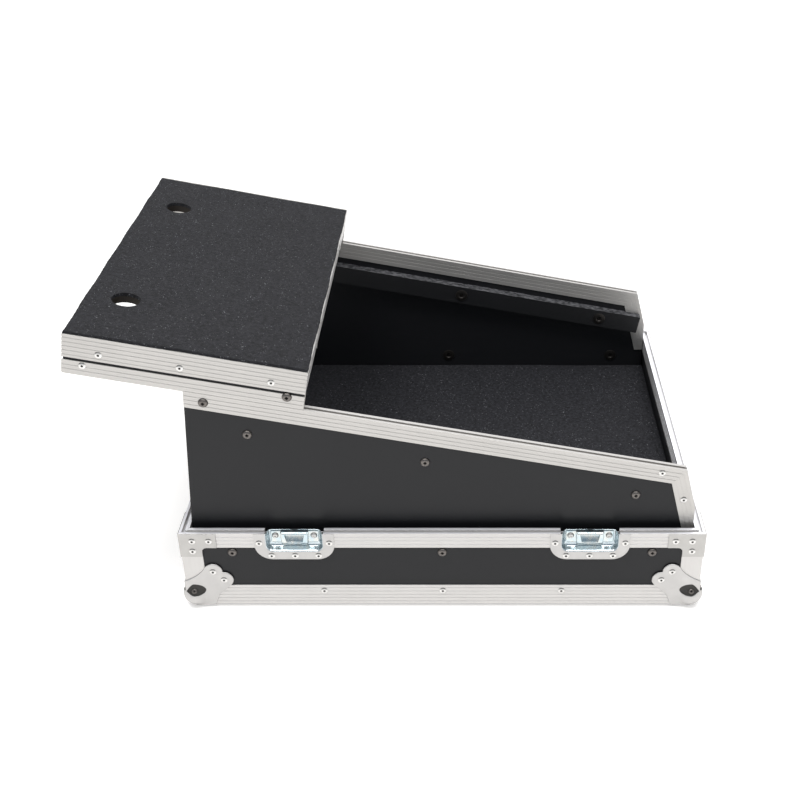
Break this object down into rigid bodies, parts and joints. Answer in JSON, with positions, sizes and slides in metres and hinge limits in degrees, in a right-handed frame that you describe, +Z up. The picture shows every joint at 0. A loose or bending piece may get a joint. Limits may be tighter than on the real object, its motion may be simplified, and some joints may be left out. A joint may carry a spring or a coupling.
{
  "type": "slant mixer flight case",
  "caption": "Open base of a sloping rack case for a mixer: edged plywood tray, slanted rack sides with grooved rails, and a laptop shelf that glides along them.",
  "frame": {"origin": "centre of the base's footprint, on the underside of the floor board", "axes": "+X towards the low front of the slope, +Y to the right-hand side, +Z up"},
  "size_m": [0.776, 0.5592, 0.392],
  "materials": {
    "laminate_board": "black laminate on plywood, satin with a fine grain",
    "black_board": "plywood stained matt black",
    "aluminium_edging": "mill finish, ribbed along its length",
    "zinc_plate": "zinc plated pressed steel, satin",
    "bright_zinc": "bright zinc plated steel",
    "foam": "closed cell foam with fine light specks",
    "dark_fastener": "blackened steel",
    "black_glide": "black slippery plastic"
  },
  "bodies": {
    "case": {"ball_corners": "zinc_plate", "base_floor": "laminate_board", "base_wall_front": "laminate_board", "base_wall_left": "laminate_board", "base_wall_rear": "laminate_board", "base_wall_right": "laminate_board", "bottom_angle_front": "aluminium_edging", "bottom_angle_left": "aluminium_edging", "bottom_angle_rear": "aluminium_edging", "bottom_angle_right": "aluminium_edging", "case_screws": "dark_fastener", "corner_angles": "aluminium_edging", "corner_bracket_front_left": "zinc_plate", "corner_bracket_front_right": "zinc_plate", "corner_bracket_rear_left": "zinc_plate", "corner_bracket_rear_right": "zinc_plate", "flange_nuts": "zinc_plate", "floor_foam": "foam", "front_post_left": "aluminium_edging", "front_post_right": "aluminium_edging", "latch_dish_front_left": "zinc_plate", "latch_dish_front_right": "zinc_plate", "latch_dish_rear_left": "zinc_plate", "latch_dish_rear_right": "zinc_plate", "latch_keeper_front_left": "bright_zinc", "latch_keeper_front_right": "bright_zinc", "latch_keeper_rear_left": "bright_zinc", "latch_keeper_rear_right": "bright_zinc", "packing_boards": "black_board", "rack_batten_left": "black_board", "rack_batten_right": "black_board", "rack_bolts": "dark_fastener", "rack_rail_left": "aluminium_edging", "rack_rail_right": "aluminium_edging", "rack_side_left": "laminate_board", "rack_side_right": "laminate_board", "rim_front": "aluminium_edging", "rim_left": "aluminium_edging", "rim_rear": "aluminium_edging", "rim_right": "aluminium_edging", "stop_blocks": "black_glide"},
    "laptop_tray": {"tray_board": "laminate_board", "tray_foam": "foam", "tray_side_left": "laminate_board", "tray_side_right": "laminate_board", "tray_aprons": "laminate_board", "tray_trim_left": "aluminium_edging", "tray_trim_right": "aluminium_edging", "tray_trim_front": "aluminium_edging", "tray_trim_rear": "aluminium_edging", "tray_rail_left": "aluminium_edging", "tray_rail_right": "aluminium_edging", "glide_shoes": "black_glide", "tray_screws": "dark_fastener"}
  },
  "joints": [
    {"name": "tray_glide", "type": "slide", "parent": "case", "child": "laptop_tray", "axis": [0.9828, 0, -0.1845], "range_m": [0, 0.462]}
  ]
}
